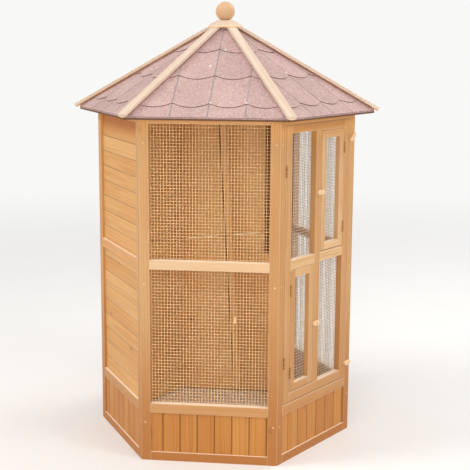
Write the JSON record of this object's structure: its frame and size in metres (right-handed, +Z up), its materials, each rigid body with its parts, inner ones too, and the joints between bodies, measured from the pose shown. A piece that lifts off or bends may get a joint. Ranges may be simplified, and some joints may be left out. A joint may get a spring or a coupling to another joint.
{
  "type": "hexagonal garden aviary",
  "caption": "Hexagonal pine garden aviary with wired and boarded walls, a wired door holding two hinged hatches, and a shingled pointed roof with a ball finial.",
  "frame": {"origin": "on the ground, under the ball finial", "axes": "+Z up, the wired front side faces -Y, the door side faces +X and -Y"},
  "size_m": [1.287, 1.1326, 1.8216],
  "materials": {
    "pine_frame": "oiled planed pine",
    "pine_boards": "oiled tongue and groove pine",
    "pale_pine": "pale planed pine",
    "roof_deck": "plain deck boards",
    "shingles": "mineral granules on bitumen",
    "wire_mesh": "galvanised wire",
    "hinge_metal": "dark coated steel",
    "screws": "yellowed zinc"
  },
  "bodies": {
    "aviary": {"left_stiles": "pine_frame", "right_stiles": "pine_frame", "plinth_rails": "pine_frame", "skirting_boards": "pine_boards", "lower_rails": "pine_frame", "mid_rails": "pine_frame", "top_rails": "pine_frame", "front_left_boards": "pine_boards", "back_left_boards": "pine_boards", "back_boards": "pine_boards", "front_upper_mesh": "wire_mesh", "front_lower_mesh": "wire_mesh", "back_right_upper_mesh": "wire_mesh", "back_right_lower_mesh": "wire_mesh", "front_roof_panel": "roof_deck", "front_right_roof_panel": "roof_deck", "back_right_roof_panel": "roof_deck", "back_roof_panel": "roof_deck", "back_left_roof_panel": "roof_deck", "front_left_roof_panel": "roof_deck", "roof_shingles": "shingles", "hip_battens": "pale_pine", "roof_cap": "pale_pine", "ball_finial": "pale_pine", "perch": "pale_pine", "frame_hinge_leaves": "hinge_metal", "frame_button_screws": "screws"},
    "main_door": {"main_door_stiles": "pine_frame", "main_door_rails": "pine_frame", "main_door_muntin": "pine_frame", "door_upper_mesh": "wire_mesh", "door_lower_mesh": "wire_mesh", "main_door_hinge_leaves": "hinge_metal", "door_hatch_hinge_leaves": "hinge_metal", "door_button_screws": "screws"},
    "upper_hatch": {"upper_hatch_stiles": "pine_frame", "upper_hatch_rails": "pine_frame", "upper_hatch_mesh": "wire_mesh", "upper_hatch_hinge_leaves": "hinge_metal"},
    "lower_hatch": {"lower_hatch_stiles": "pine_frame", "lower_hatch_rails": "pine_frame", "lower_hatch_mesh": "wire_mesh", "lower_hatch_hinge_leaves": "hinge_metal"},
    "top_button": {"door_top_button": "pine_frame"},
    "bottom_button": {"door_bottom_button": "pine_frame"},
    "upper_hatch_turn": {"upper_hatch_button": "pine_frame"},
    "lower_hatch_turn": {"lower_hatch_button": "pine_frame"}
  },
  "joints": [
    {"name": "main_door_swing", "type": "hinge", "parent": "aviary", "child": "main_door", "pos_m": [0.29502, -0.43938, 0.798], "axis": [0, 0, -1], "range_deg": [0, 110]},
    {"name": "upper_hatch_swing", "type": "hinge", "parent": "main_door", "child": "upper_hatch", "pos_m": [0.50652, -0.07305, 1.071], "axis": [0, 0, 1], "range_deg": [0, 105]},
    {"name": "lower_hatch_swing", "type": "hinge", "parent": "main_door", "child": "lower_hatch", "pos_m": [0.31652, -0.40214, 0.534], "axis": [0, 0, -1], "range_deg": [0, 105]},
    {"name": "top_button_turn", "type": "hinge", "parent": "aviary", "child": "top_button", "pos_m": [0.5367, -0.02638, 1.275], "axis": [0.866, -0.5, 0], "range_deg": [-40, 50]},
    {"name": "bottom_button_turn", "type": "hinge", "parent": "aviary", "child": "bottom_button", "pos_m": [0.5367, -0.02638, 0.305], "axis": [0.866, -0.5, 0], "range_deg": [0, 90]},
    {"name": "upper_hatch_button_turn", "type": "hinge", "parent": "main_door", "child": "upper_hatch_turn", "pos_m": [0.41795, -0.23206, 1.071], "axis": [0.866, -0.5, 0], "range_deg": [0, 90]},
    {"name": "lower_hatch_button_turn", "type": "hinge", "parent": "main_door", "child": "lower_hatch_turn", "pos_m": [0.40995, -0.24592, 0.534], "axis": [0.866, -0.5, 0], "range_deg": [0, 90]}
  ]
}
